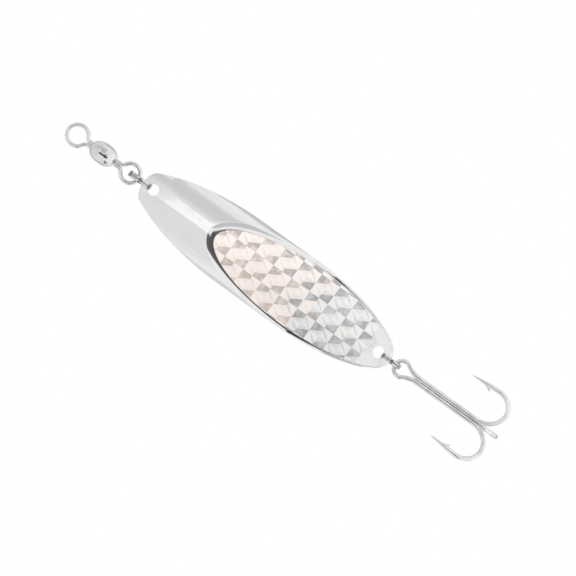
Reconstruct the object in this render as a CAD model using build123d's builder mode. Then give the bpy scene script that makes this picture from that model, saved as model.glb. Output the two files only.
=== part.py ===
"""A casting spoon: barrel swivel, split rings, plated bar-stock body, prism tape and treble hook.

The lure hangs by its line eye. The origin is the centre of that eye, +Z runs up the lure towards
the line, the taped flat faces -Y and the width lies along X. All sizes are in millimetres.
"""
from build123d import *
import os
from math import asin, atan2, cos, radians, sin, sqrt, tan

# Swivel
EYE_WIRE_R = 0.46            # radius of the wire of both swivel eyes
EYE_LEG_X = 0.47             # half the distance between an eye's two legs
LINE_LOOP_R = 2.49           # centreline radius of the line eye
LINE_EYE_BORE_R = 2.06       # the loop's inner crest, worn flat to this radius
LINE_NECK = 3.3              # loop centre to the start of the straight legs
EYE_LEG = 1.0                # length of each straight leg
COLLAR_FROM_LEGS = 0.5       # from the legs' start to the top of the round neck
LURE_LOOP_R = 2.29           # centreline radius of the lure eye
LURE_NECK = 3.1
LURE_LOOP_Z = -14.9          # centre of the lure eye
BARREL_TOP_Z = -4.15
BARREL_LENGTH = 6.2
BARREL_R = 2.45
BARREL_MOUTH_R = 1.3         # outer radius of each end face
BARREL_BAND = 1.0            # length of the straight band round the middle
BARREL_WALL = 0.9            # at each end
BARREL_CAVITY_R = 1.68
NECK_R = 0.96                # round part of each eye, where it turns in the barrel
NECK_CLEARANCE = 0.06
HEAD_R = 1.45                # upset head inside the barrel
HEAD_LENGTH = 0.9
HEAD_PLAY = 0.1

# Spoon body: an oval bar cut by two parallel flats
BODY_LENGTH = 70.0
BODY_CENTRE_Z = -53.46
BAR_HALF_WIDTH = 8.82
BAR_THICKNESS = 11.9
FLAT_HALF_LENGTH = 26.45     # half the length of each flat's ellipse
FLAT_OFFSET = 10.55          # each flat's centre from the body's centre
EDGE_ROUND = 0.15
PLAN_HALF_WIDTH = 9.1        # the two rounded ends are parts of ellipses of this half width
HEAD_PLAN_HALF_LENGTH = 34.5
HEAD_PLAN_TRIM = 1.6
HEAD_CORNER_R = 1.9
TAIL_PLAN_HALF_LENGTH = 31.0
TAIL_PLAN_TRIM = 0.7
TAIL_CORNER_R = 1.3
HEAD_HOLE_R = 1.35
HEAD_HOLE_FROM_TIP = 3.0
TAIL_HOLE_R = 1.45
TAIL_HOLE_FROM_TIP = 3.5

# Prism tape
TAPE_THICKNESS = 0.2
TAPE_HALF_WIDTH = 7.85
TAPE_HALF_LENGTH = 25.1
TAPE_CENTRE = -10.8
TAPE_END = -28.3             # the straight cut at the tail end
TAPE_PLAN_INSET = 1.0
TAPE_TURN = 0.6              # degrees, as laid by hand

# Split rings
HEAD_RING_R = 3.0            # centreline radius
HEAD_RING_WIRE = 0.7
HEAD_RING_Z = -17.6
TAIL_RING_R = 2.6
TAIL_RING_WIRE = 0.58
TAIL_RING_Z = -88.5
COIL_GAP = 0.03              # between the two coils
RING_CORNER = 0.3            # corner radius of the wire's section, as a share of the wire
JOG_START = 60               # degrees round the ring where the wire crosses over
JOG_LENGTH = 55
JOG_STEPS = 8
SPLIT_GAP = 4                # degrees between a wire end and the crossing

# Treble hook
HOOK_WIRE_R = 0.525
HOOK_EYE_R = 1.88            # centreline radius of the eye
HOOK_EYE_Z = -91.66
HOOK_NECK = 4.4
HOOK_LEG = 0.3               # straight wire below the eye's neck
WIRE_PITCH = 1.12            # between the centres of two wires of the shank
BEND_R = 4.72
SIDE_BEND_Z = -112.15        # where the bends of the two side hooks start
BACK_BEND_Z = -114.2
SINGLE_SHANK_TOP_Z = -97.2
POINT_LEG = 1.9              # straight wire above the bend, before the ground point
POINT_LEAN = 4               # degrees that the point leans towards the shank
POINT_LENGTH = 5.2
POINT_TIP_R = 0.05
POINT_OVERLAP = 0.4          # how far the ground point's cone runs over the round wire
POINT_SWELL = 0.01           # how much thicker it is there
BARB_RISE = 0.75
BARB_LENGTH = 2.4
BARB_WIDTH = 0.5
BARB_ROOT_X = 0.1            # how far out from the wire's middle the barb starts
BARB_UNDERCUT = 0.35         # how far up the barb its undercut runs, as a share of its length
BRAZE_TOP_Z = -97.4
BRAZE_BOTTOM_Z = -111.4
BRAZE_R = 0.22               # how far the brazing stands out from the lines between wire centres
BRAZE_GAP = 0.005


def loop_line(loop_r, neck, leg_x, leg):
    """One bent wire's centreline: leg, flowing neck, round loop, neck and leg, in the XZ plane.

    The loop's centre is at 0 and the legs point down. The neck's arcs touch the loop's circle.
    """
    neck_r = (leg_x**2 + neck**2 - loop_r**2) / (2 * (loop_r - leg_x))
    neck_x = leg_x + neck_r
    share = loop_r / (loop_r + neck_r)
    touch = (neck_x * share, -neck * share)
    turn = atan2(neck, neck_x) / 2
    middle = (neck_x - neck_r * cos(turn), -neck + neck_r * sin(turn))
    with BuildLine(Plane.XZ) as line:
        Line((-leg_x, -neck - leg), (-leg_x, -neck))
        ThreePointArc((-leg_x, -neck), (-middle[0], middle[1]), (-touch[0], touch[1]))
        ThreePointArc((-touch[0], touch[1]), (0, loop_r), touch)
        ThreePointArc(touch, middle, (leg_x, -neck))
        Line((leg_x, -neck), (leg_x, -neck - leg))
    return line.line


def split_ring(name, centre_z, ring_r, wire):
    """Two coils of square wire with rounded corners, side by side along X, joined by a crossing."""
    shift = (wire + COIL_GAP) / 2
    corner = RING_CORNER * wire

    def section_plane(angle, x):
        a = radians(angle)
        return Plane(
            origin=(x, ring_r * sin(a), centre_z - ring_r * cos(a)),
            x_dir=(0, sin(a), -cos(a)),
            z_dir=(0, cos(a), sin(a)),
        )

    with BuildPart() as ring:
        for step in range(JOG_STEPS + 1):
            share = step / JOG_STEPS
            eased = share * share * (3 - 2 * share)
            plane = section_plane(JOG_START + JOG_LENGTH * share, shift * (2 * eased - 1))
            with BuildSketch(plane):
                RectangleRounded(wire, wire, corner)
        loft()
        coil = 360 - JOG_LENGTH - SPLIT_GAP
        axis = Axis((0, 0, centre_z), (1, 0, 0))
        with BuildSketch(section_plane(JOG_START, -shift)):
            RectangleRounded(wire, wire, corner)
        revolve(axis=axis, revolution_arc=-coil)
        with BuildSketch(section_plane(JOG_START + JOG_LENGTH, shift)):
            RectangleRounded(wire, wire, corner)
        revolve(axis=axis, revolution_arc=coil)
    ring.part.label = name
    return ring.part


os.makedirs("parts", exist_ok=True)

# ---- Swivel: line eye -------------------------------------------------------------------------
barrel_bottom_z = BARREL_TOP_Z - BARREL_LENGTH
neck_z = -LINE_NECK - COLLAR_FROM_LEGS
head_z = BARREL_TOP_Z - BARREL_WALL - HEAD_PLAY
line_path = loop_line(LINE_LOOP_R, LINE_NECK, EYE_LEG_X, EYE_LEG)
with BuildPart() as line_eye:
    with BuildSketch(Plane(origin=line_path @ 0, z_dir=line_path % 0)):
        Circle(EYE_WIRE_R)
    sweep(path=line_path)
    with BuildSketch(Plane.XZ):
        Circle(LINE_EYE_BORE_R)
    extrude(amount=1, both=True, mode=Mode.SUBTRACT)
    with BuildSketch(Plane.XY.offset(neck_z)):
        Circle(NECK_R)
    extrude(amount=head_z - neck_z)
    with BuildSketch(Plane.XY.offset(head_z)):
        Circle(HEAD_R)
    extrude(amount=-HEAD_LENGTH)
line_eye.part.label = "line_eye"
export_step(line_eye.part, "parts/line_eye.step")

# ---- Swivel: barrel ---------------------------------------------------------------------------
barrel_z = (BARREL_TOP_Z + barrel_bottom_z) / 2
half = BARREL_LENGTH / 2
half_band = BARREL_BAND / 2
shoulder_in = BARREL_R - BARREL_MOUTH_R
shoulder_arc_r = (shoulder_in**2 + (half - half_band) ** 2) / (2 * shoulder_in)
shoulder_turn = asin((half - half_band) / shoulder_arc_r) / 2
shoulder_r = BARREL_R - shoulder_arc_r * (1 - cos(shoulder_turn))
shoulder_z = half_band + shoulder_arc_r * sin(shoulder_turn)
with BuildPart() as swivel_barrel:
    with BuildSketch(Plane(origin=(0, 0, barrel_z), x_dir=(1, 0, 0), z_dir=(0, -1, 0))):
        with BuildLine():
            Line((0, half), (BARREL_MOUTH_R, half))
            ThreePointArc((BARREL_MOUTH_R, half), (shoulder_r, shoulder_z), (BARREL_R, half_band))
            Line((BARREL_R, half_band), (BARREL_R, -half_band))
            ThreePointArc((BARREL_R, -half_band), (shoulder_r, -shoulder_z), (BARREL_MOUTH_R, -half))
            Line((BARREL_MOUTH_R, -half), (0, -half))
            Line((0, -half), (0, half))
        make_face()
    revolve(axis=Axis.Z)
    with BuildSketch(Plane.XY.offset(barrel_z)):
        Circle(BARREL_CAVITY_R)
    extrude(amount=half - BARREL_WALL, both=True, mode=Mode.SUBTRACT)
    with BuildSketch(Plane.XY.offset(barrel_z)):
        Circle(NECK_R + NECK_CLEARANCE)
    extrude(amount=half, both=True, mode=Mode.SUBTRACT)
swivel_barrel.part.label = "swivel_barrel"
export_step(swivel_barrel.part, "parts/swivel_barrel.step")

# ---- Swivel: lure eye, the same way up as the line eye and then turned over ---------------------
lower_path = loop_line(LURE_LOOP_R, LURE_NECK, EYE_LEG_X, EYE_LEG)
lure_path = lower_path.mirror(Plane.XY).moved(Location((0, 0, LURE_LOOP_Z)))
low_neck_z = LURE_LOOP_Z + LURE_NECK + COLLAR_FROM_LEGS
low_head_z = barrel_bottom_z + BARREL_WALL + HEAD_PLAY
with BuildPart() as lure_eye:
    with BuildSketch(Plane(origin=lure_path @ 0, z_dir=lure_path % 0)):
        Circle(EYE_WIRE_R)
    sweep(path=lure_path)
    with BuildSketch(Plane.XY.offset(low_neck_z)):
        Circle(NECK_R)
    extrude(amount=low_head_z - low_neck_z)
    with BuildSketch(Plane.XY.offset(low_head_z)):
        Circle(HEAD_R)
    extrude(amount=HEAD_LENGTH)
lure_eye.part.label = "lure_eye"
export_step(lure_eye.part, "parts/lure_eye.step")

# ---- Split rings --------------------------------------------------------------------------------
head_split_ring = split_ring("head_split_ring", HEAD_RING_Z, HEAD_RING_R, HEAD_RING_WIRE)
export_step(head_split_ring, "parts/head_split_ring.step")
tail_split_ring = split_ring("tail_split_ring", TAIL_RING_Z, TAIL_RING_R, TAIL_RING_WIRE)
export_step(tail_split_ring, "parts/tail_split_ring.step")

# ---- Spoon body ---------------------------------------------------------------------------------
# The bar leans by bar_angle to the flats. Each hole goes through the middle of the metal there, and
# the body leans by hang_angle so that both holes and the middle are in line below the line eye.
bar_angle = asin(BAR_THICKNESS / (2 * FLAT_HALF_LENGTH))
slab = 2 * FLAT_OFFSET * tan(bar_angle)
half_body = BODY_LENGTH / 2
full_tip = FLAT_HALF_LENGTH + FLAT_OFFSET
head_hole_y = half_body - HEAD_HOLE_FROM_TIP
tail_hole_y = -half_body + TAIL_HOLE_FROM_TIP
head_hole_depth = slab / 2 - (full_tip - head_hole_y) * tan(bar_angle) / 2
tail_hole_depth = slab / 2 - (full_tip + tail_hole_y) * tan(bar_angle) / 2
hang_angle = atan2(head_hole_depth + tail_hole_depth, head_hole_y - tail_hole_y)
body_plane = Plane(
    origin=(0, 0, BODY_CENTRE_Z), x_dir=(1, 0, 0), z_dir=(0, -cos(hang_angle), -sin(hang_angle))
)
bar_lean = hang_angle - bar_angle
bar_plane = Plane(
    origin=(0, 0, BODY_CENTRE_Z), x_dir=(1, 0, 0), z_dir=(0, -sin(bar_lean), cos(bar_lean))
)


def plan_outline(inset):
    """The body's outline seen square to its flats: two trimmed half ellipses, head end towards +Y."""
    half_width = PLAN_HALF_WIDTH - inset
    tip = half_body - inset
    ends = (
        (HEAD_PLAN_HALF_LENGTH, HEAD_PLAN_TRIM, HEAD_CORNER_R, 1, Align.MAX),
        (TAIL_PLAN_HALF_LENGTH, TAIL_PLAN_TRIM, TAIL_CORNER_R, -1, Align.MIN),
    )
    with BuildSketch(mode=Mode.PRIVATE) as plan:
        Rectangle(2 * half_width, 2 * tip)
        for half_length, trim, corner_r, side, align in ends:
            with BuildSketch(mode=Mode.PRIVATE) as end:
                with Locations((0, side * (half_body + trim - half_length))):
                    Ellipse(half_width, half_length - inset)
                    Rectangle(2 * half_width, BODY_LENGTH, align=(Align.CENTER, align))
                Rectangle(4 * half_width, 2 * tip, mode=Mode.INTERSECT)
                fillet(end.vertices().group_by(Axis.Y)[-1 if side > 0 else 0], corner_r)
            add(end.sketch, mode=Mode.INTERSECT)
    return plan.sketch


with BuildPart() as spoon_body:
    with BuildSketch(bar_plane):
        Ellipse(BAR_HALF_WIDTH, BAR_THICKNESS / 2)
    extrude(amount=BODY_LENGTH, both=True)
    with BuildSketch(body_plane):
        Rectangle(3 * BAR_HALF_WIDTH, 2 * BODY_LENGTH)
    extrude(amount=slab / 2, both=True, mode=Mode.INTERSECT)
    with BuildSketch(body_plane):
        add(plan_outline(0))
    extrude(amount=slab, both=True, mode=Mode.INTERSECT)
    flats = faces().filter_by(GeomType.PLANE).filter_by(Axis((0, 0, 0), body_plane.z_dir))
    fillet(flats.edges(), EDGE_ROUND)
    with BuildSketch(body_plane):
        with Locations((0, head_hole_y)):
            Circle(HEAD_HOLE_R)
        with Locations((0, tail_hole_y)):
            Circle(TAIL_HOLE_R)
    extrude(amount=slab, both=True, mode=Mode.SUBTRACT)
spoon_body.part.label = "spoon_body"
export_step(spoon_body.part, "parts/spoon_body.step")

# ---- Prism tape ---------------------------------------------------------------------------------
with BuildPart() as prism_tape:
    with BuildSketch(body_plane.offset(slab / 2)):
        with Locations(Location((0, TAPE_CENTRE, 0), (0, 0, TAPE_TURN))):
            Ellipse(TAPE_HALF_WIDTH, TAPE_HALF_LENGTH)
        add(plan_outline(TAPE_PLAN_INSET), mode=Mode.INTERSECT)
        with Locations((0, TAPE_END)):
            Rectangle(BODY_LENGTH, BODY_LENGTH, align=(Align.CENTER, Align.MIN), mode=Mode.INTERSECT)
    extrude(amount=TAPE_THICKNESS)
prism_tape.part.label = "prism_tape"
export_step(prism_tape.part, "parts/prism_tape.step")

# ---- Treble hook --------------------------------------------------------------------------------
leg_x = WIRE_PITCH / 2
back_wire_y = WIRE_PITCH * sqrt(3) / 2


def bend_line(foot, heading, shank_z, bend_z):
    """A hook's centreline from shank_z down its shank, round the bend and up to its ground point."""
    side = Vector(cos(radians(heading)), sin(radians(heading)), 0)
    start = Vector(foot[0], foot[1], bend_z)
    far = start + side * (2 * BEND_R)
    lean = radians(POINT_LEAN)
    leg = (Vector(0, 0, cos(lean)) - side * sin(lean)) * POINT_LEG
    with BuildLine() as line:
        Line((foot[0], foot[1], shank_z), start)
        ThreePointArc(start, start + side * BEND_R - Vector(0, 0, BEND_R), far)
        Line(far, far + leg)
    return line.line


def hook_point(path, heading):
    """The ground point beyond the end of a hook's path, with the barb on its inner side."""
    inward = Vector(-cos(radians(heading)), -sin(radians(heading)), 0)
    up = (path % 1).normalized()
    across = inward.cross(up).normalized()
    side_plane = Plane(origin=path @ 1, x_dir=up.cross(across), z_dir=across)
    with BuildPart(mode=Mode.PRIVATE) as point:
        with BuildSketch(side_plane):
            with BuildLine():
                Polyline(
                    (0, -POINT_OVERLAP),
                    (HOOK_WIRE_R + POINT_SWELL, -POINT_OVERLAP),
                    (HOOK_WIRE_R + POINT_SWELL, 0),
                    (POINT_TIP_R, POINT_LENGTH),
                    (0, POINT_LENGTH),
                    close=True,
                )
            make_face()
        revolve(axis=Axis(path @ 1, up))
        with BuildSketch(side_plane):
            with BuildLine():
                Polyline(
                    (BARB_ROOT_X, BARB_LENGTH),
                    (HOOK_WIRE_R + BARB_RISE, 0),
                    (BARB_ROOT_X, BARB_UNDERCUT * BARB_LENGTH),
                    close=True,
                )
            make_face()
        extrude(amount=BARB_WIDTH / 2, both=True)
    return point.part


side_headings = {1: -30, -1: -150}
eye_line = loop_line(HOOK_EYE_R, HOOK_NECK, leg_x, HOOK_LEG).moved(Location((0, 0, HOOK_EYE_Z)))
shank_z = HOOK_EYE_Z - HOOK_NECK - HOOK_LEG
side_lines = {
    side: bend_line((side * leg_x, 0), heading, shank_z, SIDE_BEND_Z)
    for side, heading in side_headings.items()
}
double_line = Wire([*side_lines[-1].edges(), *eye_line.edges(), *side_lines[1].edges()])
with BuildPart() as double_hook:
    with BuildSketch(Plane(origin=double_line @ 0, z_dir=double_line % 0)):
        Circle(HOOK_WIRE_R)
    sweep(path=double_line)
    for side, heading in side_headings.items():
        add(hook_point(side_lines[side], heading))
double_hook.part.label = "double_hook"
export_step(double_hook.part, "parts/double_hook.step")

single_line = bend_line((0, back_wire_y), 90, SINGLE_SHANK_TOP_Z, BACK_BEND_Z)
with BuildPart() as single_hook:
    with BuildSketch(Plane(origin=single_line @ 0, z_dir=single_line % 0)):
        Circle(HOOK_WIRE_R)
    sweep(path=single_line)
    add(hook_point(single_line, 90))
single_hook.part.label = "single_hook"
export_step(single_hook.part, "parts/single_hook.step")

# The brazing fills the grooves between the three wires and stands a little out of them.
wire_places = [(-leg_x, 0), (leg_x, 0), (0, back_wire_y)]
with BuildPart() as hook_brazing:
    with BuildSketch(Plane.XY.offset(BRAZE_TOP_Z)):
        with Locations(*wire_places):
            Circle(BRAZE_R)
        make_hull()
        with Locations(*wire_places):
            Circle(HOOK_WIRE_R + BRAZE_GAP, mode=Mode.SUBTRACT)
    extrude(amount=BRAZE_BOTTOM_Z - BRAZE_TOP_Z)
hook_brazing.part.label = "hook_brazing"
export_step(hook_brazing.part, "parts/hook_brazing.step")
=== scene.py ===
# %% [markdown]
# # A casting spoon, piece by piece
# This lesson dresses a packed fishing lure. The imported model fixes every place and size, and each
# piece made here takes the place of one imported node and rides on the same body, so the swivel, the
# rings, the spoon and the hook all still move. The first cell loads that frame and keeps its box.

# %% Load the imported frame
import math

import bpy
import numpy as np
from mathutils import Matrix, Vector


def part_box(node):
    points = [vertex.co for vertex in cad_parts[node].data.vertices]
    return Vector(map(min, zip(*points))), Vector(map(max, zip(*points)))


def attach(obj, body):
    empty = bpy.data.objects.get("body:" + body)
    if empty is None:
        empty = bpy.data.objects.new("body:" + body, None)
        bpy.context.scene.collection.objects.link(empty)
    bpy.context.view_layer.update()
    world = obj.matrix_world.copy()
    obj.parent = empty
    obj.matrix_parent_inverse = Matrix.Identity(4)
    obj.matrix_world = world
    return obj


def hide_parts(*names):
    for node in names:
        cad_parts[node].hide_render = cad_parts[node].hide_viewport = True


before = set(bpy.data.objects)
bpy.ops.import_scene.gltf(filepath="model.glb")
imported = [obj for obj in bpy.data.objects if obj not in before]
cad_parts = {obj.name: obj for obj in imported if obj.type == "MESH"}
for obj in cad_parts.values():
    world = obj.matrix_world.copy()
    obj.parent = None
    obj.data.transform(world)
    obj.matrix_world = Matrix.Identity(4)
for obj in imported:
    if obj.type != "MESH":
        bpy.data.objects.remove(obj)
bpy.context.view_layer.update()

MM = 0.001
X_AXIS, Y_AXIS, Z_AXIS = Vector((1, 0, 0)), Vector((0, 1, 0)), Vector((0, 0, 1))

# %% [markdown]
# Every operator works on what is selected, so each piece starts from an empty selection. A finished
# piece sits at the origin with its place in its mesh. These small helpers keep those habits.

# %% Habits: select nothing, start, edit, settle
def select_nothing():
    if bpy.context.object and bpy.context.object.mode != "OBJECT":
        bpy.ops.object.mode_set(mode="OBJECT")
    bpy.ops.object.select_all(action="DESELECT")


def select_only(piece):
    select_nothing()
    piece.select_set(True)
    bpy.context.view_layer.objects.active = piece


def take(name):
    """Names the object that an operator has just added and puts its place into its mesh."""
    piece = bpy.context.object
    piece.name = name
    piece.data.name = name
    bpy.ops.object.transform_apply(location=True, rotation=True, scale=True)
    return piece


def edit(piece, mode="VERT", action="DESELECT"):
    """Opens a piece for editing, with nothing or everything in it selected."""
    select_only(piece)
    bpy.ops.object.mode_set(mode="EDIT")
    bpy.ops.mesh.select_mode(type=mode)
    bpy.ops.mesh.select_all(action=action)


def close_and_orient(piece):
    """Merges doubles, closes open ends and turns every face outwards."""
    edit(piece, action="SELECT")
    bpy.ops.mesh.remove_doubles(threshold=0.0005 * MM)
    bpy.ops.mesh.select_all(action="DESELECT")
    bpy.ops.mesh.select_non_manifold()
    bpy.ops.mesh.fill_holes(sides=0)
    bpy.ops.mesh.select_all(action="SELECT")
    bpy.ops.mesh.normals_make_consistent(inside=False)
    bpy.ops.object.mode_set(mode="OBJECT")


def apply_modifier(piece, kind, **settings):
    """Adds one modifier, sets it and applies it."""
    select_only(piece)
    modifier = piece.modifiers.new(kind.title(), kind)
    for key, value in settings.items():
        setattr(modifier, key, value)
    bpy.ops.object.modifier_apply(modifier=modifier.name)


def join(piece, *others):
    """Joins the others into a piece."""
    select_only(piece)
    for other in others:
        other.select_set(True)
    bpy.ops.object.join()


def smooth(piece, degrees=35):
    select_only(piece)
    bpy.ops.object.shade_smooth_by_angle(angle=math.radians(degrees))


def settle(piece, body, node):
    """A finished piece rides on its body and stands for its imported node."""
    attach(piece, body)
    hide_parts(node)
    print(f"{piece.name}: {len(piece.data.polygons)} faces, rides on {body}")


# %% [markdown]
# Eyes, rings and hooks are bent wire. This is the bending bench: a circle is set at the wire's end,
# drawn out for a straight run, and spun round a pin for a bend. The end that moves stays selected,
# so the next call carries on from there.

# %% The wire bench
WIRE_SIDES = 24
STEPS_PER_TURN = 72


def start_wire(name, place, direction, radius):
    """A circle at the wire's end, square to its direction, open for bending."""
    select_nothing()
    turn = direction.to_track_quat("Z", "Y").to_euler()
    bpy.ops.mesh.primitive_circle_add(
        vertices=WIRE_SIDES, radius=radius, location=place, rotation=turn
    )
    wire = take(name)
    edit(wire, action="SELECT")
    return wire


def draw_out(step):
    """Extrudes the wire's end by a vector."""
    bpy.ops.mesh.extrude_edges_move(TRANSFORM_OT_translate={"value": step})


def bend(pin, axis, degrees):
    """Spins the wire's end round a pin, right-handed about the axis."""
    steps = max(2, round(abs(degrees) / 360 * STEPS_PER_TURN))
    bpy.ops.mesh.spin(
        steps=steps, angle=-math.radians(degrees), center=pin, axis=axis, dupli=False
    )


def bend_eye(centre, loop_r, neck, leg_x, up):
    """From the top of the left leg: out round the neck, round the loop, and back to the right leg.

    The eye lies in the XZ plane. up is 1 when the loop is above its legs and -1 when below.
    """
    neck_r = (leg_x**2 + neck**2 - loop_r**2) / (2 * (loop_r - leg_x))
    flare = math.degrees(math.atan2(neck, leg_x + neck_r))
    left_pin = centre - X_AXIS * (leg_x + neck_r) - Z_AXIS * neck * up
    right_pin = centre + X_AXIS * (leg_x + neck_r) - Z_AXIS * neck * up
    bend(left_pin, -Y_AXIS * up, flare)
    bend(centre, Y_AXIS * up, 180 + 2 * flare)
    bend(right_pin, -Y_AXIS * up, flare)


def turned(name, profile, sides):
    """A turned piece round the Z axis: a ring drawn along a profile of (radius, height) points."""
    select_nothing()
    radius, height = profile[0]
    bpy.ops.mesh.primitive_circle_add(vertices=sides, radius=radius, location=(0, 0, height))
    piece = take(name)
    edit(piece, action="SELECT")
    for next_radius, next_height in profile[1:]:
        bpy.ops.mesh.extrude_edges_move(
            TRANSFORM_OT_translate={"value": (0, 0, next_height - height)}
        )
        ratio = next_radius / radius
        bpy.ops.transform.resize(value=(ratio, ratio, 1), center_override=(0, 0, next_height))
        radius, height = next_radius, next_height
    bpy.ops.object.mode_set(mode="OBJECT")
    return piece


print("wire bench ready:", WIRE_SIDES, "sides,", STEPS_PER_TURN, "steps to a turn")

# %% [markdown]
# The swivel is three pieces. Each eye is one wire bent into a loop with two legs, and the legs run
# into a round neck with a head that the barrel holds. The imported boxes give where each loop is.

# %% Swivel eyes
EYE_WIRE_R = 0.46 * MM
EYE_LEG_X = 0.47 * MM
EYE_LEG = 1.6 * MM
NECK_R = 0.96 * MM
HEAD_R = 1.45 * MM
HEAD_LENGTH = 0.9 * MM
barrel_low, barrel_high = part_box("swivel_barrel")
BARREL_WALL = 0.9 * MM
HEAD_PLAY = 0.1 * MM
NECK_SINK = 0.35 * MM        # how far inside the barrel's mouth the round neck starts


def swivel_eye(node, loop_z, loop_r, neck, up):
    """One eye: the bent wire with its neck and head. up is 1 for the line eye."""
    centre = Vector((0, 0, loop_z))
    foot = centre - X_AXIS * EYE_LEG_X - Z_AXIS * (neck + EYE_LEG) * up
    eye = start_wire(node + "_wire", foot, Z_AXIS * up, EYE_WIRE_R)
    draw_out(Z_AXIS * EYE_LEG * up)
    bend_eye(centre, loop_r, neck, EYE_LEG_X, up)
    draw_out(-Z_AXIS * EYE_LEG * up)
    close_and_orient(eye)
    mouth_z = barrel_high.z if up > 0 else barrel_low.z
    head_z = mouth_z - (BARREL_WALL + HEAD_PLAY) * up
    collar_z = mouth_z - NECK_SINK * up
    chamfer = 0.18 * MM
    neck_piece = turned(
        node + "_neck",
        [
            (NECK_R - chamfer, collar_z),
            (NECK_R, collar_z - chamfer * up),
            (NECK_R, head_z),
            (HEAD_R, head_z),
            (HEAD_R, head_z - HEAD_LENGTH * up),
        ],
        48,
    )
    close_and_orient(neck_piece)
    join(eye, neck_piece)
    smooth(eye)
    return eye


LINE_LOOP_R = 2.49 * MM
LINE_NECK = 3.3 * MM
LURE_LOOP_R = 2.29 * MM
LURE_NECK = 3.1 * MM
line_loop_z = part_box("line_eye")[1].z - LINE_LOOP_R - EYE_WIRE_R
lure_loop_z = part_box("lure_eye")[0].z + LURE_LOOP_R + EYE_WIRE_R
line_eye = swivel_eye("line_eye", line_loop_z, LINE_LOOP_R, LINE_NECK, 1)
lure_eye = swivel_eye("lure_eye", lure_loop_z, LURE_LOOP_R, LURE_NECK, -1)
settle(line_eye, "line_eye", "line_eye")
settle(lure_eye, "lure_eye", "lure_eye")

# %% [markdown]
# The shell is drawn from tube: rolled mouths and two long shoulders that meet in a short band.

# %% Swivel barrel
BARREL_R = barrel_high.x
MOUTH_OUTER_R = 1.3 * MM
MOUTH_INNER_R = 1.02 * MM
CAVITY_R = 1.68 * MM
BAND_HALF = 0.5 * MM
LIP = 0.14 * MM
SHOULDER_STEPS = 14
barrel_z = (barrel_low.z + barrel_high.z) / 2
barrel_half = (barrel_high.z - barrel_low.z) / 2
shoulder_in = BARREL_R - MOUTH_OUTER_R
shoulder_rise = barrel_half - BAND_HALF
shoulder_r = (shoulder_in**2 + shoulder_rise**2) / (2 * shoulder_in)
shoulder_turn = math.asin(shoulder_rise / shoulder_r)
upper = [(MOUTH_INNER_R, barrel_half - BARREL_WALL)]
for degrees in range(0, 136, 15):
    a = math.radians(degrees)
    upper.append((MOUTH_INNER_R + LIP * (1 - math.cos(a)), barrel_half - LIP * (1 - math.sin(a))))
for step in range(1, SHOULDER_STEPS + 1):
    a = shoulder_turn * (1 - step / SHOULDER_STEPS)
    upper.append((BARREL_R - shoulder_r * (1 - math.cos(a)), BAND_HALF + shoulder_r * math.sin(a)))
outline = upper + [(r, -h) for r, h in reversed(upper)]
outline += [
    (CAVITY_R, BARREL_WALL - barrel_half), (CAVITY_R, barrel_half - BARREL_WALL), upper[0]
]
swivel_barrel = turned("barrel_shell", [(r, barrel_z + h) for r, h in outline], 96)
close_and_orient(swivel_barrel)
smooth(swivel_barrel)
settle(swivel_barrel, "barrel", "swivel_barrel")

# %% [markdown]
# A split ring is two coils of squared wire, side by side, with one place where the wire crosses from
# one coil to the other. The section is a square with its corners bevelled, spun round the ring's
# axis; over the crossing it also steps sideways a little with each small turn.

# %% Split rings
COIL_GAP = 0.03 * MM
JOG_START = 60
JOG_LENGTH = 55
SPLIT_GAP = 4
JOG_STEPS = 12


def split_ring(name, node, ring_r, wire):
    low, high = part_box(node)
    centre = Vector((0, 0, (low.z + high.z) / 2))
    shift = (wire + COIL_GAP) / 2
    coil = 360 - JOG_LENGTH - SPLIT_GAP
    start = math.radians(JOG_START - coil)
    select_nothing()
    bpy.ops.mesh.primitive_circle_add(
        vertices=4, radius=wire * math.sqrt(0.5), fill_type="NGON", rotation=(0, 0, math.pi / 4)
    )
    ring = take(name)
    edit(ring, action="SELECT")
    bpy.ops.mesh.bevel(offset=0.3 * wire, segments=4, affect="VERTICES")
    bpy.ops.mesh.select_all(action="SELECT")
    bpy.ops.mesh.delete(type="ONLY_FACE")
    bpy.ops.object.mode_set(mode="OBJECT")
    ring.rotation_euler = (start, 0, 0)
    ring.location = centre + Vector((-shift, ring_r * math.sin(start), -ring_r * math.cos(start)))
    select_only(ring)
    take(name)
    edit(ring, action="SELECT")
    bend(centre, X_AXIS, coil)
    crossed = -1
    for step in range(1, JOG_STEPS + 1):
        share = step / JOG_STEPS
        eased = 2 * share * share * (3 - 2 * share) - 1
        bpy.ops.mesh.spin(
            steps=1,
            angle=-math.radians(JOG_LENGTH / JOG_STEPS),
            center=centre,
            axis=X_AXIS,
            dupli=False,
        )
        bpy.ops.transform.translate(value=X_AXIS * shift * (eased - crossed))
        crossed = eased
    bend(centre, X_AXIS, coil)
    close_and_orient(ring)
    smooth(ring, 30)
    return ring


head_ring = split_ring("head_ring_coils", "head_split_ring", 3.0 * MM, 0.7 * MM)
tail_ring = split_ring("tail_ring_coils", "tail_split_ring", 2.6 * MM, 0.58 * MM)
settle(head_ring, "head_ring", "head_split_ring")
settle(tail_ring, "tail_ring", "tail_split_ring")

# %% [markdown]
# The spoon body is an oval bar cut through on the slant by two parallel flats, then tumbled so that
# its edges flow. No primitive bends that way, so its skin is found by rule: from points along the
# middle of the metal, rays run out until they leave the bar, the flats or the trimmed ends, with
# every meeting of two surfaces rounded. A boolean drill then makes the two holes.

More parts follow.
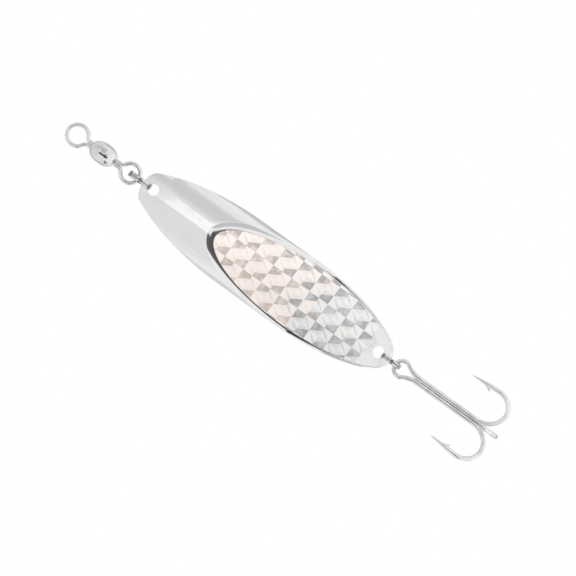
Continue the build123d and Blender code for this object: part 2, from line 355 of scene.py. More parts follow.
# %% The body's rule
HALF_BODY = 35.0
BAR_HALF_WIDTH = 8.82
BAR_THICKNESS = 11.9
FLAT_HALF_LENGTH = 26.45
FLAT_OFFSET = 10.55
PLAN_HALF_WIDTH = 9.1
END_CORNER = 1.6
END_SHAPES = {1: (34.5, 1.6), -1: (31.0, 0.7)}     # half length and trim of the head and tail ends
EDGE_MARGIN = 0.8                                 # how far a square edge's rounding reaches
EDGE_SOFTNESS = 0.07
THIN_ROUNDING = 0.6                               # the rounding where the metal runs out thin
bar_angle = math.asin(BAR_THICKNESS / (2 * FLAT_HALF_LENGTH))
half_slab = FLAT_OFFSET * math.tan(bar_angle)
bar_half_height = BAR_THICKNESS / 2 / math.cos(bar_angle)


def rounded(first, second, radius):
    """The depth below two surfaces whose meeting is rounded."""
    gap = np.maximum(radius - first, 0) ** 2 + np.maximum(radius - second, 0) ** 2
    return np.where(
        np.maximum(first, second) < radius, radius - np.sqrt(gap), np.minimum(first, second)
    )


def oval_depth(across, along, half_across, half_along):
    """About how deep a point lies inside an oval, and how far its skin there faces along."""
    reach = np.sqrt((across / half_across) ** 2 + (along / half_along) ** 2) + 1e-9
    slope_across = across / half_across**2 / reach
    slope_along = along / half_along**2 / reach
    slope = np.sqrt(slope_across**2 + slope_along**2) + 1e-9
    return (1 - reach) / slope, slope_along / slope


def body_depth(x, y, z):
    """How deep a point lies inside the body, in mm, in the body's own axes."""
    bar_centre = -y * math.tan(bar_angle)
    bar, facing = oval_depth(x, z - bar_centre, BAR_HALF_WIDTH, bar_half_height)
    plan = np.full_like(x, np.inf)
    for side, (half_length, trim) in END_SHAPES.items():
        middle = side * (HALF_BODY + trim - half_length)
        end, _ = oval_depth(x, np.maximum(side * (y - middle), 0), PLAN_HALF_WIDTH, half_length)
        plan = np.minimum(plan, rounded(end, HALF_BODY - side * y, END_CORNER))
    side_depth = rounded(bar, plan, 0.12)
    bulge = bar_half_height * np.sqrt(np.maximum(1 - (x / BAR_HALF_WIDTH) ** 2, 0))
    metal = np.minimum(half_slab, bar_centre + bulge) + np.minimum(half_slab, bulge - bar_centre)
    meeting = np.sqrt(1 - (facing * math.cos(bar_angle)) ** 2)
    reach = np.where(bar < plan, EDGE_MARGIN * meeting + EDGE_SOFTNESS, EDGE_MARGIN)
    reach = np.clip(reach, 0.16, np.maximum(0.45 * metal, THIN_ROUNDING))
    front = rounded(half_slab - z, side_depth, reach)
    back = rounded(half_slab + z, side_depth, reach)
    return np.minimum(front, back)


print("slant", round(math.degrees(bar_angle), 2), "deg, flats", round(2 * half_slab, 2), "mm apart")

# %% [markdown]
# Rays run out from a spine inside the metal, and halving the gap finds where each one leaves it. The
# points make rows, and the rows are joined by four-sided faces.

# %% Skin of the body
ROUND_STEPS = 384
SPINE_REACH = 0.88
THICKNESS_STEPS = 14
spread = 1 - (1 - np.linspace(0, 1, 34)) ** 2
turn_angle = 2 * math.pi * (np.arange(ROUND_STEPS) + 0.5) / ROUND_STEPS
rim_x = PLAN_HALF_WIDTH * np.sin(turn_angle)
rim_y = HALF_BODY * np.cos(turn_angle)
spine_y = rim_y * SPINE_REACH
bar_centre = -spine_y * math.tan(bar_angle)
spine_z = (
    np.minimum(half_slab, bar_centre + bar_half_height)
    + np.maximum(-half_slab, bar_centre - bar_half_height)
) / 2
aims = [(reach, 1.0) for reach in spread]
aims += [(1.0, level) for level in np.cos(np.linspace(0, math.pi, THICKNESS_STEPS))[1:-1]]
aims += [(reach, -1.0) for reach in spread[::-1]]
rows = []
for reach, level in aims:
    out_x = reach * rim_x
    out_y = reach * (rim_y - spine_y)
    out_z = level * half_slab - spine_z * reach**4 * (1 - abs(level)) - spine_z * abs(level)
    inside, outside = np.zeros(ROUND_STEPS), np.full(ROUND_STEPS, 1.3)
    for _ in range(40):
        middle = (inside + outside) / 2
        depth = body_depth(out_x * middle, spine_y + out_y * middle, spine_z + out_z * middle)
        inside = np.where(depth > 0, middle, inside)
        outside = np.where(depth > 0, outside, middle)
    rows.append(
        np.stack([out_x * inside, spine_y + out_y * inside, spine_z + out_z * inside], axis=1)
    )
skin = np.concatenate(rows) * MM
quads = [
    (
        row * ROUND_STEPS + step,
        row * ROUND_STEPS + (step + 1) % ROUND_STEPS,
        (row + 1) * ROUND_STEPS + (step + 1) % ROUND_STEPS,
        (row + 1) * ROUND_STEPS + step,
    )
    for row in range(len(rows) - 1)
    for step in range(ROUND_STEPS)
]
print(len(skin), "points in the skin, longest", round(float(np.ptp(skin[:, 1])) / MM, 2), "mm")

# %% [markdown]
# The body's own axes are x across, y towards the head and z out of the taped flat. It hangs by its
# two holes, so those axes lean a little from the frame's.

# %% Body piece and its holes
HEAD_HOLE_R = 1.35
TAIL_HOLE_R = 1.45
HEAD_HOLE_Y = HALF_BODY - 3.0
TAIL_HOLE_Y = -HALF_BODY + 3.5
full_tip = FLAT_HALF_LENGTH + FLAT_OFFSET
hole_depths = [
    half_slab - (full_tip - HEAD_HOLE_Y) * math.tan(bar_angle) / 2,
    half_slab - (full_tip + TAIL_HOLE_Y) * math.tan(bar_angle) / 2,
]
hang_angle = math.atan2(sum(hole_depths), HEAD_HOLE_Y - TAIL_HOLE_Y)
spoon_low, spoon_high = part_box("spoon_body")
body_frame = Matrix.Translation((0, 0, (spoon_low.z + spoon_high.z) / 2)) @ Matrix(
    (
        (1, 0, 0, 0),
        (0, -math.sin(hang_angle), -math.cos(hang_angle), 0),
        (0, math.cos(hang_angle), -math.sin(hang_angle), 0),
        (0, 0, 0, 1),
    )
)
mesh = bpy.data.meshes.new("spoon_plate")
mesh.from_pydata([tuple(p) for p in skin], [], quads)
mesh.transform(body_frame)
spoon_plate = bpy.data.objects.new("spoon_plate", mesh)
bpy.context.scene.collection.objects.link(spoon_plate)
close_and_orient(spoon_plate)


def drill(y, hole_r):
    """A turned drill, set square to the flats."""
    reach = 2 * half_slab
    bit = turned("drill", [(hole_r * MM, -reach * MM), (hole_r * MM, reach * MM)], 64)
    close_and_orient(bit)
    bit.data.transform(body_frame @ Matrix.Translation((0, y * MM, 0)))
    return bit


for hole_y, hole_r in ((HEAD_HOLE_Y, HEAD_HOLE_R), (TAIL_HOLE_Y, TAIL_HOLE_R)):
    bit = drill(hole_y, hole_r)
    apply_modifier(spoon_plate, "BOOLEAN", object=bit, operation="DIFFERENCE", solver="EXACT")
    bpy.data.objects.remove(bit)
drill_faces = []
to_body = body_frame.inverted()
for face in spoon_plate.data.polygons:
    spot = to_body @ face.center / MM
    for hole_y, hole_r in ((HEAD_HOLE_Y, HEAD_HOLE_R), (TAIL_HOLE_Y, TAIL_HOLE_R)):
        if math.hypot(spot.x, spot.y - hole_y) < hole_r * 1.001:
            drill_faces.append(face.index)
print(len(drill_faces), "faces in the two holes' walls")
smooth(spoon_plate, 30)
settle(spoon_plate, "spoon", "spoon_body")
low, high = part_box("spoon_body")
print("packed body", [round(v / MM, 2) for v in (*low, *high)])
corners = [v.co for v in spoon_plate.data.vertices]
print("made body  ", [round(f(c[i] for c in corners) / MM, 2) for f in (min, max) for i in range(3)])

# %% [markdown]
# The tape is a thin prism film. Its outline is an oval laid along the taped flat, kept inside the
# spoon's own outline and cut straight across near the tail, and its rim is eased by a small bevel.

# %% Prism tape
TAPE_CENTRE = -10.8
TAPE_HALF_WIDTH = 7.85
TAPE_HALF_LENGTH = 25.1
TAPE_END = -28.3
TAPE_PLAN_INSET = 1.0
TAPE_THICKNESS = 0.2
TAPE_TURN = math.radians(0.6)
select_nothing()
bpy.ops.mesh.primitive_circle_add(vertices=256, radius=1, fill_type="NGON")
tape = bpy.context.object
tape.scale = (TAPE_HALF_WIDTH, TAPE_HALF_LENGTH, 1)
tape.rotation_euler = (0, 0, TAPE_TURN)
tape.location = (0, TAPE_CENTRE, 0)
take("prism_film")
tail_length, tail_trim = END_SHAPES[-1]
tail_middle = tail_length - HALF_BODY - tail_trim
for vertex in tape.data.vertices:
    share = max(tail_middle - vertex.co.y, 0) / (tail_length - TAPE_PLAN_INSET)
    half_width = (PLAN_HALF_WIDTH - TAPE_PLAN_INSET) * math.sqrt(max(1 - share * share, 0.01))
    vertex.co.x = max(-half_width, min(half_width, vertex.co.x))
edit(tape, action="SELECT")
bpy.ops.mesh.bisect(
    plane_co=(0, TAPE_END, 0), plane_no=(0, 1, 0), clear_inner=True, use_fill=False
)
bpy.ops.mesh.select_all(action="SELECT")
bpy.ops.mesh.extrude_region_move(
    TRANSFORM_OT_translate={"value": (0, 0, TAPE_THICKNESS)}
)
close_and_orient(tape)
edit(tape)
bpy.ops.object.mode_set(mode="OBJECT")
for edge in tape.data.edges:
    ends = [tape.data.vertices[v].co.z for v in edge.vertices]
    edge.select = min(ends) > TAPE_THICKNESS / 2
bpy.ops.object.mode_set(mode="EDIT")
bpy.ops.mesh.select_mode(type="EDGE")
bpy.ops.mesh.bevel(offset=0.07, segments=3, affect="EDGES")
bpy.ops.object.mode_set(mode="OBJECT")
rim_faces = [face.index for face in tape.data.polygons if face.normal.z < 0.9]
tape.data.transform(
    body_frame @ Matrix.Scale(MM, 4) @ Matrix.Translation((0, 0, half_slab))
)
smooth(tape, 30)
settle(tape, "spoon", "prism_tape")

# %% [markdown]
# The treble is bent from wire too. One wire makes two hooks: from one ground point down its leg,
# round the bend, up the shank, round the eye, and down again to the other point. The third hook is a
# shorter wire laid in the groove behind them, and brazing holds the three shanks together.

# %% Hook wires
HOOK_WIRE_R = 0.525 * MM
WIRE_PITCH = 1.12 * MM
HOOK_EYE_R = 1.88 * MM
HOOK_NECK = 4.4 * MM
BEND_R = 4.72 * MM
POINT_LEG = 1.9 * MM
POINT_LEAN = 4
POINT_LENGTH = 5.2 * MM
POINT_TIP_R = 0.05 * MM
POINT_STEPS = 8
SIDE_HEADINGS = {1: -30, -1: -150}
hook_leg_x = WIRE_PITCH / 2
back_wire_y = WIRE_PITCH * math.sqrt(3) / 2
double_low, double_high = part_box("double_hook")
single_low, single_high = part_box("single_hook")
hook_eye_z = double_high.z - HOOK_EYE_R - HOOK_WIRE_R
side_bend_z = double_low.z + HOOK_WIRE_R + BEND_R
back_bend_z = single_low.z + HOOK_WIRE_R + BEND_R


def outward(heading):
    a = math.radians(heading)
    return Vector((math.cos(a), math.sin(a), 0))


def point_place(foot, heading, bend_z):
    """Where a hook's leg ends and its ground point starts, and which way the point runs."""
    side = outward(heading)
    lean = math.radians(POINT_LEAN)
    up = Z_AXIS * math.cos(lean) - side * math.sin(lean)
    far = Vector((foot[0], foot[1], bend_z)) + side * 2 * BEND_R
    return far + up * POINT_LEG, up


def point_radius(share):
    """The ground point's radius, from its root at 0 to its tip at 1: slightly full, then fine."""
    return POINT_TIP_R + (HOOK_WIRE_R - POINT_TIP_R) * (1 - share) ** 0.8


def grind(root, direction, shares):
    """Draws the wire's end along its point, from the share it is at to the next ones."""
    previous = shares[0]
    for share in shares[1:]:
        draw_out(direction * POINT_LENGTH * (share - previous))
        ratio = point_radius(share) / point_radius(previous)
        centre = root + direction * POINT_LENGTH * share
        bpy.ops.transform.resize(value=(ratio, ratio, ratio), center_override=centre)
        previous = share


def hook_bend(foot, heading, bend_z, outwards):
    """The round bend between shank and leg."""
    side = outward(heading)
    axis = side.cross(Z_AXIS)
    pin = Vector((foot[0], foot[1], bend_z)) + side * BEND_R
    bend(pin, axis if outwards else -axis, 180)


shares_up = [(step / POINT_STEPS) ** 0.8 for step in range(POINT_STEPS + 1)]
root, up = point_place((-hook_leg_x, 0), SIDE_HEADINGS[-1], side_bend_z)
double_hook = start_wire("double_hook_wire", root + up * POINT_LENGTH, up, POINT_TIP_R)
grind(root, up, shares_up[::-1])
draw_out(-up * POINT_LEG)
hook_bend((-hook_leg_x, 0), SIDE_HEADINGS[-1], side_bend_z, False)
shank = hook_eye_z - HOOK_NECK - side_bend_z
draw_out(Z_AXIS * shank)
bend_eye(Vector((0, 0, hook_eye_z)), HOOK_EYE_R, HOOK_NECK, hook_leg_x, 1)
draw_out(-Z_AXIS * shank)
hook_bend((hook_leg_x, 0), SIDE_HEADINGS[1], side_bend_z, True)
root, up = point_place((hook_leg_x, 0), SIDE_HEADINGS[1], side_bend_z)
draw_out(up * POINT_LEG)
grind(root, up, shares_up)
close_and_orient(double_hook)

braze_low, braze_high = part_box("hook_brazing")
wire_top = (0, back_wire_y, braze_high.z + 0.2 * MM)
single_hook = start_wire("single_hook_wire", wire_top, -Z_AXIS, HOOK_WIRE_R * 0.8)
draw_out(-Z_AXIS * 0.12 * MM)
bpy.ops.transform.resize(value=(1.25, 1.25, 1), center_override=(0, back_wire_y, braze_high.z))
draw_out(-Z_AXIS * (braze_high.z + 0.08 * MM - back_bend_z))
hook_bend((0, back_wire_y), 90, back_bend_z, True)
root, up = point_place((0, back_wire_y), 90, back_bend_z)
draw_out(up * POINT_LEG)
grind(root, up, shares_up)
close_and_orient(single_hook)

# %% [markdown]
# A barb is a sliver raised from the inner side of each point: a cube drawn to a wedge whose tail
# stands off the wire. The brazing is a three-sided fillet that fills the grooves between the shanks.

# %% Barbs and brazing
BARB_LENGTH = 2.4 * MM
BARB_RISE = 0.75 * MM
BARB_WIDTH = 0.5 * MM


def add_barb(hook, foot, heading, bend_z):
    root, up = point_place(foot, heading, bend_z)
    inward = -outward(heading)
    across = inward.cross(up).normalized()
    inward = up.cross(across)
    select_nothing()
    bpy.ops.mesh.primitive_cube_add(size=1)
    barb = take("barb")
    corners = {
        (-1, -1): 0.35 * BARB_LENGTH * up + 0.1 * MM * inward,
        (1, -1): (HOOK_WIRE_R + BARB_RISE) * inward,
        (-1, 1): BARB_LENGTH * up + 0.1 * MM * inward,
        (1, 1): 0.12 * BARB_LENGTH * up + (HOOK_WIRE_R + 0.92 * BARB_RISE) * inward,
    }
    for vertex in barb.data.vertices:
        x, y, z = (1 if c > 0 else -1 for c in vertex.co)
        width = BARB_WIDTH * (0.32 if x > 0 else 0.5)
        vertex.co = root + corners[(x, z)] + across * width * y
    edit(barb, "EDGE", "SELECT")
    bpy.ops.mesh.bevel(offset=0.03 * MM, segments=2, affect="EDGES")
    close_and_orient(barb)
    join(hook, barb)


for side, heading in SIDE_HEADINGS.items():
    add_barb(double_hook, (side * hook_leg_x, 0), heading, side_bend_z)
add_barb(single_hook, (0, back_wire_y), 90, back_bend_z)
smooth(double_hook)
smooth(single_hook)
settle(double_hook, "treble", "double_hook")
settle(single_hook, "treble", "single_hook")

BRAZE_RISE = 0.22 * MM
braze_length = braze_high.z - braze_low.z
select_nothing()
bpy.ops.mesh.primitive_cylinder_add(
    vertices=3,
    radius=WIRE_PITCH / math.sqrt(3) + 2 * BRAZE_RISE,
    depth=braze_length,
    location=(0, back_wire_y / 3, (braze_low.z + braze_high.z) / 2),
)
brazing = take("hook_braze")
apply_modifier(brazing, "SUBSURF", subdivision_type="SIMPLE", levels=2)
edit(brazing, "FACE", "SELECT")
bpy.ops.mesh.subdivide(number_cuts=6)
bpy.ops.object.mode_set(mode="OBJECT")
flow = bpy.data.textures.new("braze_flow", "CLOUDS")
flow.noise_scale = 0.9 * MM
apply_modifier(brazing, "DISPLACE", texture=flow, strength=0.12 * MM, mid_level=0.6)
close_and_orient(brazing)
smooth(brazing, 60)
settle(brazing, "treble", "hook_brazing")

# %% [markdown]
# Finishes come next. Marks that several finishes share are small node groups that put out values and
# colours only: fine polishing lines, a haze of handling, and specks. The shader node itself, with its
# constants set straight on its sockets, stays in each material.

# %% Node helpers and shared marks
def new_group(name, inputs, outputs):
    """A node group with (name, default) inputs and (name, kind) outputs."""
    group = bpy.data.node_groups.new(name, "ShaderNodeTree")
    for label, default in inputs:
        socket = group.interface.new_socket(label, in_out="INPUT", socket_type="NodeSocketFloat")
        socket.default_value = default
    for label, kind in outputs:
        group.interface.new_socket(label, in_out="OUTPUT", socket_type=kind)
    return group, group.nodes.new("NodeGroupInput"), group.nodes.new("NodeGroupOutput")


def plug(tree, source, target):
    """Links a socket to a socket, or sets a plain value on it."""
    if isinstance(source, bpy.types.NodeSocket):
        tree.links.new(source, target)
    else:
        target.default_value = source


def maths(tree, operation, *values):
    node = tree.nodes.new("ShaderNodeMath")
    node.operation = operation
    for value, socket in zip(values, node.inputs):
        plug(tree, value, socket)
    return node.outputs[0]


def ramp(tree, value, low, high, start=0.0, end=1.0, smooth_step=True):
    """Maps a value from low..high to start..end, eased."""
    node = tree.nodes.new("ShaderNodeMapRange")
    node.interpolation_type = "SMOOTHSTEP" if smooth_step else "LINEAR"
    for socket, number in zip(node.inputs, (value, low, high, start, end)):
        plug(tree, number, socket)
    return node.outputs[0]


def noise(tree, vector, scale, detail=2.0, roughness=0.5):
    node = tree.nodes.new("ShaderNodeTexNoise")
    tree.links.new(vector, node.inputs["Vector"])
    node.inputs["Scale"].default_value = scale
    node.inputs["Detail"].default_value = detail
    node.inputs["Roughness"].default_value = roughness
    return node.outputs["Fac"]


def stretched(tree, vector, scale):
    """Object coordinates stretched by three factors."""
    node = tree.nodes.new("ShaderNodeVectorMath")
    node.operation = "MULTIPLY"
    plug(tree, vector, node.inputs[0])
    node.inputs[1].default_value = scale
    return node.outputs[0]


def blend_colour(tree, amount, first, second):
    node = tree.nodes.new("ShaderNodeMix")
    node.data_type = "RGBA"
    plug(tree, amount, node.inputs["Factor"])
    plug(tree, first, node.inputs[6])
    plug(tree, second, node.inputs[7])
    return node.outputs[2]


def object_place(tree):
    return tree.nodes.new("ShaderNodeTexCoord").outputs["Object"]


marks, _, out = new_group(
    "Polish marks",
    [],
    [("Lines", "NodeSocketFloat"), ("Haze", "NodeSocketFloat"), ("Specks", "NodeSocketFloat")],
)
place = object_place(marks)
long_way = stretched(marks, place, (1, 1, 0.04))
lines = noise(marks, long_way, 9000.0, 3.0, 0.6)
haze = noise(marks, place, 350.0, 4.0, 0.6)
speck = noise(marks, place, 2600.0, 1.0, 0.4)
marks.links.new(lines, out.inputs["Lines"])
marks.links.new(ramp(marks, haze, 0.42, 0.68), out.inputs["Haze"])
marks.links.new(ramp(marks, speck, 0.70, 0.76), out.inputs["Specks"])
print("shared marks:", [s.name for s in marks.interface.items_tree if s.in_out == "OUTPUT"])


# %% [markdown]
# Every plated piece uses one recipe with its own colours and roughness. Haze and specks dull it, and
# fine lines roughen its normal.

# %% Plated metals
def metal(name, bright, dull, rough, rough_haze, bump, rim=0.0, seam=0.0):
    """A plated metal: bright where polished, a little duller under haze, with fine polishing lines.

    rim is how much thin round wire is painted darker towards its outline as the camera sees it, a
    painted shade, and seam is the half width of a painted shade line in the plane x = 0, where two coils
    meet.
    """
    finish = bpy.data.materials.new(name)
    finish.use_nodes = True
    tree = finish.node_tree
    shader = tree.nodes["Principled BSDF"]
    shader.inputs["Metallic"].default_value = 1.0
    group = tree.nodes.new("ShaderNodeGroup")
    group.node_tree = marks
    wear = maths(tree, "MULTIPLY_ADD", group.outputs["Specks"], 0.5, group.outputs["Haze"])
    colour = blend_colour(tree, wear, (*bright, 1), (*dull, 1))
    # Painted shade: thin wire is darkened towards its outline, by how far its surface turns from the camera.
    if rim:
        facing = tree.nodes.new("ShaderNodeLayerWeight")
        facing.inputs["Blend"].default_value = 0.5
        painted_outline_shade = ramp(tree, facing.outputs["Facing"], 0.45, 0.85, 0.0, rim)
        colour = blend_colour(tree, painted_outline_shade, colour, (0.10, 0.10, 0.10, 1))
    # Painted shade: a dark line in the plane x = 0, in the groove where the ring's two coils meet.
    if seam:
        split = tree.nodes.new("ShaderNodeSeparateXYZ")
        tree.links.new(object_place(tree), split.inputs[0])
        seam_shade_mask = ramp(tree, maths(tree, "ABSOLUTE", split.outputs[0]), seam * 0.4, seam, 1.0, 0.0)
        colour = blend_colour(tree, seam_shade_mask, colour, (0.02, 0.02, 0.02, 1))
    tree.links.new(colour, shader.inputs["Base Color"])
    tree.links.new(ramp(tree, wear, 0.0, 1.2, rough, rough_haze), shader.inputs["Roughness"])
    bumps = tree.nodes.new("ShaderNodeBump")
    bumps.inputs["Strength"].default_value = bump
    bumps.inputs["Distance"].default_value = 0.01 * MM
    tree.links.new(group.outputs["Lines"], bumps.inputs["Height"])
    tree.links.new(bumps.outputs["Normal"], shader.inputs["Normal"])
    return finish


def dress(piece, finish):
    piece.data.materials.clear()
    piece.data.materials.append(finish)


chrome = metal("Chrome plate", (0.88, 0.88, 0.88), (0.85, 0.85, 0.85), 0.05, 0.09, 0.05)
shell_nickel = metal("Bright nickel shell", (0.78, 0.78, 0.78), (0.66, 0.66, 0.66), 0.07, 0.17, 0.10, rim=0.4)
eye_nickel = metal("Swivel wire", (0.84, 0.84, 0.84), (0.70, 0.70, 0.70), 0.10, 0.22, 0.12, rim=0.7)
ring_steel = metal(
    "Ring steel", (0.66, 0.66, 0.66), (0.46, 0.46, 0.46), 0.12, 0.26, 0.15, rim=0.6, seam=0.12 * MM
)
hook_nickel = metal("Hook nickel", (0.84, 0.84, 0.835), (0.70, 0.70, 0.695), 0.14, 0.28, 0.15, rim=0.7)
braze_nickel = metal("Plated brazing", (0.78, 0.78, 0.775), (0.60, 0.60, 0.595), 0.22, 0.38, 0.30)
for piece, finish in (
    (line_eye, eye_nickel),
    (lure_eye, eye_nickel),
    (swivel_barrel, shell_nickel),
    (head_ring, ring_steel),
    (tail_ring, ring_steel),
    (spoon_plate, chrome),
    (double_hook, hook_nickel),
    (single_hook, hook_nickel),
    (brazing, braze_nickel),
):
    dress(piece, finish)

# The holes' walls are rougher and more marked, and painted dark grey: a painted shade inside the holes.
hole_wall_shade = metal("Drilled wall", (0.30, 0.30, 0.30), (0.20, 0.20, 0.20), 0.25, 0.40, 0.40)
spoon_plate.data.materials.append(hole_wall_shade)
for index in drill_faces:
    spoon_plate.data.polygons[index].material_index = 1

# %% [markdown]
# The prism film repeats one small star pattern. Each cell holds a dark facet at one corner and its
# mirror image, half a turn round, at the other; the rest is split into pale facets. Folding the cell
# in two lets one set of lines draw both halves. The group tells which facet a point lies in, and in which
# half of the cell.

# %% The prism pattern
facets, given, out = new_group(
    "Prism pattern",
    [("Along", 0.0), ("Across", 0.0)],
    [
        ("Dark", "NodeSocketFloat"),
        ("Far Half", "NodeSocketFloat"),
        ("Wedge", "NodeSocketFloat"),
        ("Fan", "NodeSocketFloat"),
    ],
)
p = maths(facets, "FRACT", given.outputs["Along"])
q = maths(facets, "FRACT", given.outputs["Across"])
far_half = maths(facets, "GREATER_THAN", q, 0.5)
turn = maths(facets, "MULTIPLY_ADD", far_half, -2.0, 1.0)
p = maths(facets, "MULTIPLY_ADD", p, turn, far_half)
q = maths(facets, "MULTIPLY_ADD", q, turn, far_half)
near_side = maths(facets, "LESS_THAN", p, 0.5)
far_side = maths(facets, "SUBTRACT", 1.0, near_side)
above_first = maths(facets, "GREATER_THAN", q, maths(facets, "MULTIPLY", p, 0.6))
above_second = maths(facets, "GREATER_THAN", q, maths(facets, "MULTIPLY_ADD", p, -0.6, 0.6))
above_third = maths(facets, "GREATER_THAN", maths(facets, "ADD", p, q), 1.0)
dark = maths(facets, "MULTIPLY", near_side, above_first)
wedge = maths(facets, "MULTIPLY", near_side, maths(facets, "SUBTRACT", 1.0, above_first))
fan = maths(facets, "MULTIPLY", far_side, maths(facets, "SUBTRACT", above_second, above_third))
for value, label in ((dark, "Dark"), (far_half, "Far Half"), (wedge, "Wedge"), (fan, "Fan")):
    facets.links.new(value, out.inputs[label])

# %% [markdown]
# The film's colours come from the pattern, with a chance value for each facet, a little warmer
# towards the head. The facet tones are painted reflections, and the warm tint is a painted sheen.

# %% Prism film
STAR_PITCH_ALONG = 5.08 * MM
STAR_PITCH_ACROSS = 4.78 * MM
STAR_X = -0.3 * MM
STAR_Z = -69.11 * MM
film = bpy.data.materials.new("Prism film")
film.use_nodes = True
tree = film.node_tree
shader = tree.nodes["Principled BSDF"]
split = tree.nodes.new("ShaderNodeSeparateXYZ")
tree.links.new(object_place(tree), split.inputs[0])
x_place, z_place = split.outputs[0], split.outputs[2]
along = maths(tree, "MULTIPLY", maths(tree, "SUBTRACT", STAR_Z, z_place), 1 / STAR_PITCH_ALONG)
across = maths(tree, "MULTIPLY", maths(tree, "SUBTRACT", x_place, STAR_X), 1 / STAR_PITCH_ACROSS)
pattern = tree.nodes.new("ShaderNodeGroup")
pattern.node_tree = facets
tree.links.new(along, pattern.inputs["Along"])
tree.links.new(across, pattern.inputs["Across"])
cell = tree.nodes.new("ShaderNodeCombineXYZ")
tree.links.new(maths(tree, "FLOOR", along), cell.inputs[0])
tree.links.new(maths(tree, "FLOOR", across), cell.inputs[1])
facet = maths(tree, "MULTIPLY_ADD", pattern.outputs["Fan"], 2.0, pattern.outputs["Far Half"])
facet = maths(tree, "MULTIPLY_ADD", pattern.outputs["Wedge"], 4.0, facet)
tree.links.new(facet, cell.inputs[2])
chance = tree.nodes.new("ShaderNodeTexWhiteNoise")
tree.links.new(cell.outputs[0], chance.inputs["Vector"])
# Painted sheen: a warm tint that grows towards the head, which the dark facets lose along one side of the
# film.
toward_head = ramp(tree, z_place, -0.078, -0.050)
uneven = maths(tree, "MULTIPLY_ADD", chance.outputs["Value"], 0.7, -0.35)
warmth = ramp(tree, maths(tree, "ADD", toward_head, uneven), 0.15, 0.75)
low_side = ramp(tree, maths(tree, "MULTIPLY_ADD", z_place, -0.25, x_place), 0.022, 0.010)
# Painted reflections: the pale, paler and dark facet colours stand for how each tilted facet mirrors the
# room.
pale = blend_colour(tree, warmth, (0.82, 0.82, 0.82, 1), (0.95, 0.855, 0.80, 1))
paler = blend_colour(tree, warmth, (0.64, 0.64, 0.64, 1), (0.86, 0.75, 0.69, 1))
deep = blend_colour(
    tree, maths(tree, "MULTIPLY", warmth, low_side), (0.34, 0.34, 0.34, 1), (0.54, 0.44, 0.40, 1)
)
clouds = noise(tree, object_place(tree), 520.0, 2.0)
deep = blend_colour(tree, ramp(tree, clouds, 0.42, 0.66, 0.0, 0.6), deep, paler)
colour = blend_colour(tree, pattern.outputs["Fan"], pale, paler)
colour = blend_colour(tree, maths(tree, "MULTIPLY", pattern.outputs["Wedge"], 0.6), colour, paler)
colour = blend_colour(tree, pattern.outputs["Dark"], colour, deep)
shade = ramp(tree, chance.outputs["Value"], 0.0, 1.0, 0.0, 0.16, False)
colour = blend_colour(tree, shade, colour, (0.55, 0.54, 0.53, 1))
grain = noise(tree, object_place(tree), 2200.0, 3.0, 0.7)
colour = blend_colour(tree, ramp(tree, grain, 0.35, 0.75, 0.0, 0.22), colour, (0.99, 0.97, 0.96, 1))
tree.links.new(colour, shader.inputs["Base Color"])
shader.inputs["Metallic"].default_value = 0.30
tree.links.new(ramp(tree, chance.outputs["Value"], 0.0, 1.0, 0.32, 0.48), shader.inputs["Roughness"])
shader.inputs["Coat Weight"].default_value = 0.6
shader.inputs["Coat Roughness"].default_value = 0.06
dress(tape, film)
# The film's cut rim is painted dark grey, a painted shade line along the tape's edge.
film_edge_shade = bpy.data.materials.new("Film edge")
film_edge_shade.use_nodes = True
tree = film_edge_shade.node_tree
edge_grain = noise(tree, object_place(tree), 1500.0, 2.0)
colour = blend_colour(tree, edge_grain, (0.26, 0.25, 0.24, 1), (0.42, 0.41, 0.40, 1))
tree.links.new(colour, tree.nodes["Principled BSDF"].inputs["Base Color"])
tree.nodes["Principled BSDF"].inputs["Roughness"].default_value = 0.3
tape.data.materials.append(film_edge_shade)
for index in rim_faces:
    tape.data.polygons[index].material_index = 1

# %% [markdown]
# The stage is a pale floor well below the hanging lure, soft lamps and a room. Chrome shows the room
# it hangs in, so the room is not even: bright, grey and dark areas are set by direction, and they
# make the bands, the crescent shadow and the dark edge lines. They are tuned for the front view.

# %% Floor and room
select_nothing()
bpy.ops.mesh.primitive_plane_add(size=3, location=(0, 0, -1))
floor = take("floor")
floor_paint = bpy.data.materials.new("Floor paint")
floor_paint.use_nodes = True
tree = floor_paint.node_tree
tree.nodes["Principled BSDF"].inputs["Roughness"].default_value = 0.9
tint = noise(tree, object_place(tree), 3.0)
colour = blend_colour(tree, tint, (0.93, 0.93, 0.93, 1), (0.95, 0.95, 0.95, 1))
tree.links.new(colour, tree.nodes["Principled BSDF"].inputs["Base Color"])
dress(floor, floor_paint)

world = bpy.data.worlds.new("Studio room")
bpy.context.scene.world = world
world.use_nodes = True
room = world.node_tree
direction = room.nodes.new("ShaderNodeSeparateXYZ")
room.links.new(room.nodes.new("ShaderNodeTexCoord").outputs["Generated"], direction.inputs[0])
dir_x, dir_y, dir_z = direction.outputs
bearing = maths(room, "DEGREES", maths(room, "ARCTAN2", dir_x, maths(room, "MULTIPLY", dir_y, -1.0)))
height = maths(room, "DEGREES", maths(room, "ARCSINE", dir_z))


# Two slanted ways to read heights: along the slope in which the leaning flats mirror the room, and
# along a gentle rise to the right, which cuts the bright strip's start at an angle.
slope = maths(room, "MULTIPLY_ADD", dir_y, -3.3, maths(room, "ADD", height, 3.3))
rise = maths(room, "MULTIPLY_ADD", bearing, 0.045, height)


def panel(low, high, bottom, top, soft, soft_height, level):
    """A mask for the part of the room between two bearings and two heights, in degrees."""
    mask = ramp(room, bearing, low - soft, low + soft)
    mask = maths(room, "MULTIPLY", mask, ramp(room, bearing, high + soft, high - soft))
    mask = maths(room, "MULTIPLY", mask, ramp(room, level, bottom - soft_height, bottom + soft_height))
    return maths(room, "MULTIPLY", mask, ramp(room, level, top + soft_height, top - soft_height))


def set_panel(base, brightness, mask):
    """The room's brightness with a panel laid over it."""
    node = room.nodes.new("ShaderNodeMix")
    for socket, value in zip((0, 2, 3), (mask, base, brightness)):
        plug(room, value, node.inputs[socket])
    return node.outputs[0]


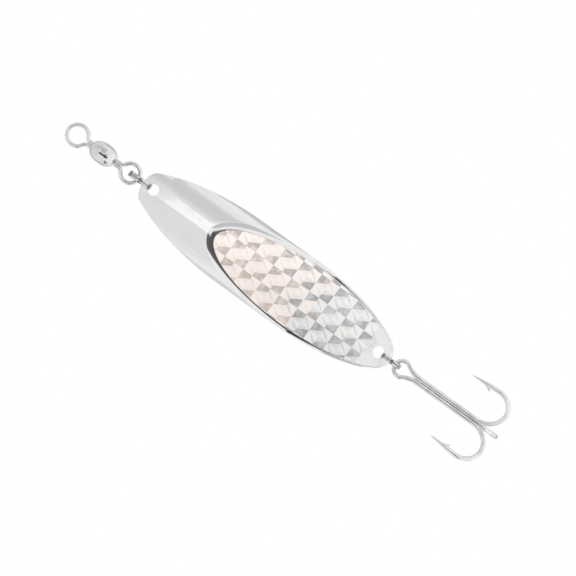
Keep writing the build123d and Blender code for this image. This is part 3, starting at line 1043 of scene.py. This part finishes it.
PANELS = (
    # bearings, heights, softness of both, brightness, how heights are read
    (20, 64, 14, 80, 14, 2, 0.68, height),          # the grey band on the lure's right
    (66, 200, 14, 80, 2, 2, 0.88, height),
    (-66, -7, 14, 80, 2, 2, 0.82, height),
    (-200, -68, 14, 80, 1, 2, 0.85, height),
    (-7, 20, 24.5, 80, 2, 0.2, 0.80, height),       # above the bright strip, by the hole
    (-7, 15, 14, 24.8, 1, 0.12, 1.08, rise),        # the bright strip straight ahead and above
    (5, 60, 3, 13, 2, 1, 0.60, height),
    (140, 200, -60, 60, 12, 4, 0.70, height),       # behind the lure it is dimmer
    (-200, -140, -60, 60, 12, 4, 0.76, height),
    (115, 172, -12, 13, 14, 1, 0.60, height),
    (-172, -115, -12, 13, 14, 1, 0.72, height),
    (-26, -4, -30, 13, 1.5, 1, 0.12, height),       # a dark strip at swivel height
    (-14, 1.6, -1.2, 12, 0.8, 0.3, 0.10, slope),    # a dark strip, low and a little to the left
    (-14, -1.0, -2.9, -1.2, 0.1, 0.3, 0.16, slope),     # its foot, narrower
    (1.7, 21, -12.5, -7.4, 0.3, 0.5, 0.06, height),     # dark ledges, low on both sides
    (-32, -1.7, -15.5, -4.2, 0.3, 0.4, 0.06, height),
    (-100, -58, -34, -16, 3, 1, 0.30, height),
)
glow = 0.94
for low, high, bottom, top, soft, soft_height, brightness, level in PANELS:
    mask = panel(low, high, bottom, top, soft, soft_height, level)
    glow = set_panel(glow, brightness, mask)
path = room.nodes.new("ShaderNodeLightPath")
glow = set_panel(glow, 1.12, path.outputs["Is Diffuse Ray"])
glow = set_panel(glow, 1.0, path.outputs["Is Camera Ray"])
background = room.nodes["Background"]
background.inputs["Color"].default_value = (1, 1, 1, 1)
room.links.new(glow, background.inputs["Strength"])

# %% [markdown]
# Two square soft lamps light the film and the floor. The camera looks along +Y and leans over, so
# the lure lies on a slant.

# %% Lamps and camera
def soft_lamp(name, place, power, size):
    """A square soft lamp turned to the middle of the lure. Plated pieces see the room, not the lamp."""
    select_nothing()
    aim = (Vector((0, 0, -0.058)) - Vector(place)).to_track_quat("-Z", "Y").to_euler()
    bpy.ops.object.light_add(type="AREA", location=place, rotation=aim)
    lamp = bpy.context.object
    lamp.name = name
    lamp.data.energy = power
    lamp.data.size = size
    lamp.visible_glossy = False
    return lamp


soft_lamp("front_lamp", (0.25, -0.6, 0.35), 1.2, 0.5)
soft_lamp("left_lamp", (-0.7, -0.3, 0.0), 0.5, 0.5)

FOCAL_LENGTH = 100
SENSOR = 36
FRAME_WIDTH = 132 * MM
AIM = Vector((-0.2 * MM, 0, -59.56 * MM))
ROLL = math.radians(54.2)
distance = FRAME_WIDTH * FOCAL_LENGTH / SENSOR
select_nothing()
bpy.ops.object.camera_add()
camera = bpy.context.object
camera.name = "camera"
camera.data.lens = FOCAL_LENGTH
camera.data.sensor_width = SENSOR
camera.data.clip_start = 0.01
looking = Matrix.Rotation(math.radians(90), 4, "X")
rolled = Matrix.Rotation(-ROLL, 4, "Z")
camera.matrix_world = Matrix.Translation(AIM - Vector((0, distance, 0))) @ looking @ rolled
bpy.context.scene.camera = camera
bpy.context.scene.view_settings.view_transform = "Standard"
print("camera stands", round(distance / MM), "mm away and leans", round(math.degrees(ROLL), 1), "deg")
